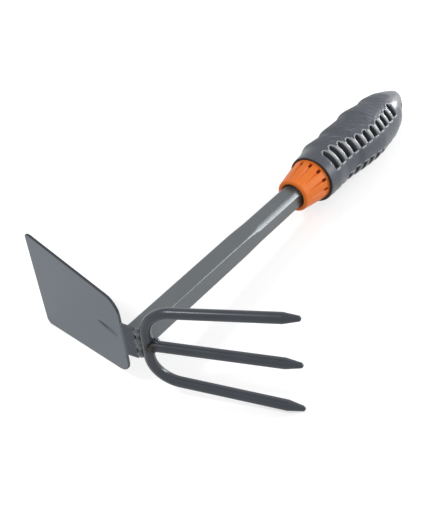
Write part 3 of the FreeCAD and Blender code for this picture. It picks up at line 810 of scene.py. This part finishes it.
# %% Camera
camera_data = bpy.data.cameras.new("camera")
camera_data.sensor_width = 36
camera_data.lens = 67.8247
camera_data.clip_start = 0.01
camera_data.clip_end = 20
camera = bpy.data.objects.new("camera", camera_data)
camera.location = (-0.34972, -0.270247, 0.398717)
camera.rotation_mode = "QUATERNION"
camera.rotation_quaternion = (0.80935433, 0.37992113, -0.12793124, -0.42923082)
bpy.context.scene.collection.objects.link(camera)
bpy.context.scene.camera = camera
print("camera at", [round(v, 3) for v in camera.location])

# %% [markdown]
# Finishes come next. Colours are written as hex values, as a paint chart gives them, and turned to
# the linear values that the renderer adds and multiplies. One helper adds a node to a material, and
# the same settings and links can be given to a node that is there already, such as the shader.

# %% Colours and nodes
def colour(code):
    """A hex colour as linear red, green, blue and a full alpha."""
    parts = [int(code[i:i + 2], 16) / 255 for i in (1, 3, 5)]
    return [c / 12.92 if c <= 0.04045 else ((c + 0.055) / 1.055) ** 2.4 for c in parts] + [1.0]


def set_up(tree, node, values=None, links=None):
    """Settings and links of a node; a key is a socket's name or number, or a property of the node."""
    for key, value in (values or {}).items():
        if isinstance(key, str) and hasattr(node, key):
            setattr(node, key, value)
        else:
            node.inputs[key].default_value = value
    for key, source in (links or {}).items():
        tree.links.new(source, node.inputs[key])
    return node


def add(tree, kind, values=None, links=None):
    """One new node with its settings and links."""
    return set_up(tree, tree.nodes.new(kind), values, links)


def new_finish(name):
    """An empty material with its principled shader, and that shader's node tree."""
    material = bpy.data.materials.new(name)
    material.use_nodes = True
    tree = material.node_tree
    return material, tree, tree.nodes["Principled BSDF"]


def give(piece, material):
    """Puts one material on a whole piece."""
    piece.data.materials.clear()
    piece.data.materials.append(material)


print("mid grey #808080 is", [round(v, 3) for v in colour("#808080")])

# %% [markdown]
# The head and tube are steel under a grey baked enamel with a little metal flake, which is why a
# face that mirrors the lamp turns almost white while its neighbours stay grey. Under a lens the
# enamel has an orange peel, small flecks, and slow changes of tone where it was laid on thicker.
# The flecks of the real finish are about 0.1 mm and are drawn as 0.6 mm, or they would vanish. Painted
# shade darkens it along the blade's edges, on its tab, in its dart and in the pits of the welds, and it is
# scorched dark round the foot of the middle prong.

# %% Enamel over steel
def enamel(name, light, dark, scorch_and_painted_shade, roughness, flake, gloss):
    """Tone varies over 20 mm between light and dark, then turns to the colour of scorch and painted shade
    where the piece's stored darker share says so.
    """
    material, tree, shader = new_finish(name)
    where = add(tree, "ShaderNodeTexCoord").outputs["Object"]
    tone = add(tree, "ShaderNodeTexNoise", {"Scale": 50.0, "Detail": 3.0}, {"Vector": where})
    fleck = add(tree, "ShaderNodeTexNoise", {"Scale": 1600.0, "Detail": 1.0}, {"Vector": where})
    peel = add(tree, "ShaderNodeTexNoise", {"Scale": 1100.0, "Detail": 2.0}, {"Vector": where})
    ragged = add(tree, "ShaderNodeTexNoise", {"Scale": 900.0, "Detail": 2.0}, {"Vector": where})
    marked = add(tree, "ShaderNodeAttribute", {"attribute_name": "darker"})
    wide = add(
        tree, "ShaderNodeMix", {"data_type": "RGBA", 6: colour(dark), 7: colour(light)},
        {0: tone.outputs["Fac"]},
    )
    share = add(
        tree, "ShaderNodeMapRange", {"From Min": 0.45, "From Max": 0.75, "To Max": 0.3},
        {"Value": fleck.outputs["Fac"]},
    )
    flecked = add(
        tree, "ShaderNodeMix", {"data_type": "RGBA", 7: colour(dark)},
        {0: share.outputs["Result"], 6: wide.outputs[2]},
    )
    spread = add(
        tree, "ShaderNodeMath", {"operation": "MULTIPLY_ADD", 1: 0.5, 2: -0.25}, {0: ragged.outputs["Fac"]},
    )
    ragged_darker = add(
        tree, "ShaderNodeMath", {"operation": "ADD", "use_clamp": True},
        {0: marked.outputs["Fac"], 1: spread.outputs[0]},
    )
    # the stored darker share is painted shade on the blade, scorch on the rods, and both on the welds
    kept = add(
        tree, "ShaderNodeMath", {"operation": "MULTIPLY"},
        {0: marked.outputs["Fac"], 1: ragged_darker.outputs[0]},
    )
    mixed = add(
        tree, "ShaderNodeMix", {"data_type": "RGBA", 7: colour(scorch_and_painted_shade)},
        {0: kept.outputs[0], 6: flecked.outputs[2]},
    )
    rough = add(
        tree, "ShaderNodeMapRange", {"To Min": roughness - 0.04, "To Max": roughness + 0.06},
        {"Value": tone.outputs["Fac"]},
    )
    duller = add(
        tree, "ShaderNodeMath", {"operation": "MULTIPLY_ADD", 1: 0.25},
        {0: kept.outputs[0], 2: rough.outputs["Result"]},
    )
    bump = add(
        tree, "ShaderNodeBump", {"Strength": 0.12, "Distance": 0.00012}, {"Height": peel.outputs["Fac"]},
    )
    set_up(
        tree, shader, {"Metallic": flake, "IOR": 1.5, "Specular IOR Level": gloss},
        {"Base Color": mixed.outputs[2], "Roughness": duller.outputs[0], "Normal": bump.outputs["Normal"]},
    )
    return material


# the blade's last colour, #33383d, is its painted shade
blade_enamel = enamel("baked_enamel_on_plate", "#6c747e", "#626971", "#33383d", 0.45, 0.2, 0.5)
print("enamel uses", len(blade_enamel.node_tree.nodes), "nodes")

# %% [markdown]
# One coat looks different on each kind of steel. It is dullest on the plate and glossier on the drawn
# tube. It is darkest on the forged rods, and where it is scorched there it is nearly black.

# %% The enamelled pieces
# the rods' last colour is their scorch; the welds' is their scorch and the painted shade in their pits; the
# tube stores no darker share
tube_enamel = enamel("baked_enamel_on_drawn_tube", "#6b7073", "#5f6467", "#4a4f53", 0.31, 0.35, 0.5)
prong_enamel = enamel("baked_enamel_on_forged_rod", "#484d55", "#373b42", "#1b160c", 0.24, 0.15, 0.4)
weld_enamel = enamel("baked_enamel_over_welds", "#676c70", "#4e5256", "#15120b", 0.24, 0.2, 0.5)
give(blade, blade_enamel)
give(tube, tube_enamel)
for piece in (bow, middle):
    give(piece, prong_enamel)
for bead in beads:
    give(bead, weld_enamel)
print("enamelled", 4 + len(beads), "pieces")

# %% [markdown]
# The collar is orange polypropylene, moulded and satin. A little light travels inside it, which
# warms its thin edges. Its windows, the deeper part of its flutes and the lip of its bore carry a
# painted shade of deep red brown. Its moulded grain is drawn 0.7 mm wide, coarser than the
# real one, so that it shows.

# %% Orange polypropylene
material, tree, shader = new_finish("moulded_orange_polypropylene")
where = add(tree, "ShaderNodeTexCoord").outputs["Object"]
cloud = add(tree, "ShaderNodeTexNoise", {"Scale": 120.0, "Detail": 2.0}, {"Vector": where})
mixed = add(
    tree, "ShaderNodeMix", {"data_type": "RGBA", 6: colour("#ef7524"), 7: colour("#f98a3c")},
    {0: cloud.outputs["Fac"]},
)
dent = add(tree, "ShaderNodeAttribute", {"attribute_name": "painted_shade_depth_mm"})
painted_recess_shade = add(
    tree, "ShaderNodeMapRange", {"From Min": 0.5, "From Max": 1.5}, {"Value": dent.outputs["Fac"]},
)
# painted shade of deep red brown, from none at half a millimetre of stored depth to full at 1.5 mm
shaded = add(
    tree, "ShaderNodeMix", {"data_type": "RGBA", 7: colour("#8e2c08")},
    {0: painted_recess_shade.outputs["Result"], 6: mixed.outputs[2]},
)
grain = add(tree, "ShaderNodeTexNoise", {"Scale": 1500.0}, {"Vector": where})
bump = add(tree, "ShaderNodeBump", {"Strength": 0.1, "Distance": 0.0001}, {"Height": grain.outputs["Fac"]})
values = {
    "Roughness": 0.4, "IOR": 1.49, "Specular IOR Level": 0.25,
    "Subsurface Weight": 0.12, "Subsurface Radius": (0.004, 0.0015, 0.0006), "Subsurface Scale": 0.4,
}
set_up(tree, shader, values, {"Base Color": shaded.outputs[2], "Normal": bump.outputs["Normal"]})
give(collar, material)
print("collar finish uses", len(tree.nodes), "nodes")

# %% [markdown]
# The grip is a filled grey plastic, moulded, satin and slightly cloudy. Ribs and rims carry a
# painted highlight. The slots' floors, the face of the mouth and the wall of the hanging hole carry
# painted shade.

# %% Grey grip plastic
material, tree, shader = new_finish("moulded_grey_filled_plastic")
where = add(tree, "ShaderNodeTexCoord").outputs["Object"]
cloud = add(tree, "ShaderNodeTexNoise", {"Scale": 60.0, "Detail": 3.0}, {"Vector": where})
speck = add(tree, "ShaderNodeTexNoise", {"Scale": 1800.0, "Detail": 1.0}, {"Vector": where})
base = add(
    tree, "ShaderNodeMix", {"data_type": "RGBA", 6: colour("#494d54"), 7: colour("#565a62")},
    {0: cloud.outputs["Fac"]},
)
shade = base.outputs[2]
# the ribs' and rims' marks are painted highlights; sunk and mouth are painted shade
marks = (
    ("painted_rib_highlight", "#bdbebd", 0.9), ("rim", "#c3c7cd", 0.85), ("sunk", "#0c0c0e", 1.0), ("mouth", "#1b1c20", 1.0),
)
for mark, code, most in marks:
    stored_mark = add(tree, "ShaderNodeAttribute", {"attribute_name": mark})
    amount = add(tree, "ShaderNodeMath", {"operation": "MULTIPLY", 1: most}, {0: stored_mark.outputs["Fac"]})
    shade = add(
        tree, "ShaderNodeMix", {"data_type": "RGBA", 7: colour(code)}, {0: amount.outputs[0], 6: shade},
    ).outputs[2]
print("grip colours mixed with", len(tree.nodes), "nodes")

# %% [markdown]
# Where the fingers press, the mould was scratched with coarse grit, which leaves the plastic dull.
# The ends are smooth and shine. The scratches are noise stretched along one slant, in the grip's own
# coordinates: millimetres along it and round it. They raise the surface, and their lighter colour is a
# painted highlight.
# The real ones are hair fine and are drawn about 0.6 mm wide, so that they show. A speckle of 0.6 mm
# stands for the finer grain between them. The slots' floors are matt too.

# %% Scratches of the grip's mould
along_mm = add(tree, "ShaderNodeAttribute", {"attribute_name": "along_mm"}).outputs["Fac"]
round_mm = add(tree, "ShaderNodeAttribute", {"attribute_name": "round_mm"}).outputs["Fac"]
hatch = add(tree, "ShaderNodeAttribute", {"attribute_name": "hatched"}).outputs["Fac"]
crosswise = []
for of_along, of_round in ((0.9, 0.42), (0.042, -0.09)):
    part = add(tree, "ShaderNodeMath", {"operation": "MULTIPLY", 1: of_along}, {0: along_mm})
    crosswise.append(add(
        tree, "ShaderNodeMath", {"operation": "MULTIPLY_ADD", 1: of_round}, {0: round_mm, 2: part.outputs[0]},
    ).outputs[0])
slanted = add(tree, "ShaderNodeCombineXYZ", {}, {0: crosswise[0], 1: crosswise[1]})
scratch = add(
    tree, "ShaderNodeTexNoise", {"Scale": 1.2, "Detail": 3.0, "Roughness": 0.6},
    {"Vector": slanted.outputs[0]},
)
scratched = add(tree, "ShaderNodeMath", {"operation": "MULTIPLY"}, {0: scratch.outputs["Fac"], 1: hatch})
# painted highlight: a lighter colour along the scratches
scratch_highlight = add(
    tree, "ShaderNodeMapRange", {"From Min": 0.52, "From Max": 0.75, "To Max": 0.6},
    {"Value": scratched.outputs[0]},
)
shade = add(
    tree, "ShaderNodeMix", {"data_type": "RGBA", 7: colour("#8f9399")}, {0: scratch_highlight.outputs["Result"], 6: shade},
).outputs[2]
height = add(
    tree, "ShaderNodeMath", {"operation": "MULTIPLY_ADD", 1: 3.0},
    {0: scratched.outputs[0], 2: speck.outputs["Fac"]},
).outputs[0]
bump = add(tree, "ShaderNodeBump", {"Strength": 0.5, "Distance": 0.0002}, {"Height": height})
sunk_mark = add(tree, "ShaderNodeAttribute", {"attribute_name": "sunk"}).outputs["Fac"]
gritty = add(tree, "ShaderNodeMath", {"operation": "MULTIPLY", 1: 0.6}, {0: hatch})
dull = add(tree, "ShaderNodeMath", {"operation": "MAXIMUM"}, {0: sunk_mark, 1: gritty.outputs[0]})
rough = add(tree, "ShaderNodeMapRange", {"To Min": 0.33, "To Max": 0.8}, {"Value": dull.outputs[0]})
set_up(
    tree, shader, {"IOR": 1.46, "Specular IOR Level": 0.33},
    {"Base Color": shade, "Roughness": rough.outputs["Result"], "Normal": bump.outputs["Normal"]},
)
give(grip, material)
print("grip finish uses", len(tree.nodes), "nodes")

# %% [markdown]
# The core is black nylon, moulded and matt, seen only as a dark ring between the collar and the
# grip's mouth.

# %% Black nylon
material, tree, shader = new_finish("moulded_black_nylon")
where = add(tree, "ShaderNodeTexCoord").outputs["Object"]
cloud = add(tree, "ShaderNodeTexNoise", {"Scale": 200.0}, {"Vector": where})
mixed = add(
    tree, "ShaderNodeMix", {"data_type": "RGBA", 6: colour("#17181b"), 7: colour("#222327")},
    {0: cloud.outputs["Fac"]},
)
set_up(tree, shader, {"Roughness": 0.6}, {"Base Color": mixed.outputs[2]})
give(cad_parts["grip_core"], material)
print("core finish uses", len(tree.nodes), "nodes")

# %% [markdown]
# The photograph has a pure white ground. The floor and the room are white for a ray that comes from
# the camera, or off or through the tool, and plain grey for the light that falls on the tool. The
# floor's own share of light is kept, so the tool still throws a faint shadow on it.

# %% Floor and room
WHITE = (1, 1, 1, 1)
FLOOR_GLOW = 0.62
ROOM_LIGHT = 0.5
FLOOR_HALF = 3.0


def seen(tree):
    """1 for a ray from the camera or one mirrored or let through by the tool, otherwise 0."""
    ray = add(tree, "ShaderNodeLightPath")
    mirrored = add(
        tree, "ShaderNodeMath", {"operation": "MAXIMUM"},
        {0: ray.outputs["Is Camera Ray"], 1: ray.outputs["Is Glossy Ray"]},
    )
    return add(
        tree, "ShaderNodeMath", {"operation": "MAXIMUM"},
        {0: mirrored.outputs[0], 1: ray.outputs["Is Transmission Ray"]},
    ).outputs[0]


floor_mesh = bpy.data.meshes.new("floor")
floor_corners = [(x * FLOOR_HALF, y * FLOOR_HALF, 0) for x, y in ((-1, -1), (1, -1), (1, 1), (-1, 1))]
floor_mesh.from_pydata(floor_corners, [], [(0, 1, 2, 3)])
floor_piece = bpy.data.objects.new("floor", floor_mesh)
bpy.context.scene.collection.objects.link(floor_piece)
material, tree, shader = new_finish("white_paper_floor")
glow = add(tree, "ShaderNodeMapRange", {"To Max": FLOOR_GLOW}, {"Value": seen(tree)})
set_up(
    tree, shader, {"Base Color": colour("#c8c8c8"), "Roughness": 0.9, "Emission Color": WHITE},
    {"Emission Strength": glow.outputs["Result"]},
)
give(floor_piece, material)

world = bpy.data.worlds.new("white_room")
bpy.context.scene.world = world
world.use_nodes = True
tree = world.node_tree
level = add(tree, "ShaderNodeMapRange", {"To Min": ROOM_LIGHT}, {"Value": seen(tree)})
set_up(tree, tree.nodes["Background"], {"Color": WHITE}, {"Strength": level.outputs["Result"]})
print("floor at height", floor_piece.location.z)

# %% [markdown]
# Three small soft lamps. The first stands where the tube's facet mirrors it to the camera: the facet
# faces half way between Z and -Y, and the way to the lamp is the camera's way mirrored in it. The
# second, behind the butt, gives the bright spots on the butt and on the lower bend. The third is
# overhead and draws the thin light along the top prong. The room gives most of the plain light.

# %% Lamps
def lamp(name, direction, distance, size, power):
    """A square soft lamp, aimed at the middle of the tool from a direction of the drawing."""
    data = bpy.data.lights.new(name, "AREA")
    data.size = size
    data.energy = power
    piece = bpy.data.objects.new(name, data)
    way = laid_down(direction) - laid_down([0, 0, 0])
    piece.location = way / np.linalg.norm(way) * distance
    piece.rotation_mode = "QUATERNION"
    piece.rotation_quaternion = piece.location.normalized().to_track_quat("Z", "Y")
    bpy.context.scene.collection.objects.link(piece)
    print(name, "lamp at", [round(v, 2) for v in piece.location], "of", power, "W")


lamp("key", (0.645, -0.66, 0.37), 0.9, 0.32, 3.6)
lamp("behind", (0.965, -0.18, 0.19), 0.9, 0.15, 4.0)
lamp("overhead", (-0.53, 0.31, 0.79), 1.0, 0.12, 2.4)

# %% [markdown]
# Colours are shown as they are, with no film curve.

# %% Colour management
bpy.context.scene.view_settings.view_transform = "Standard"
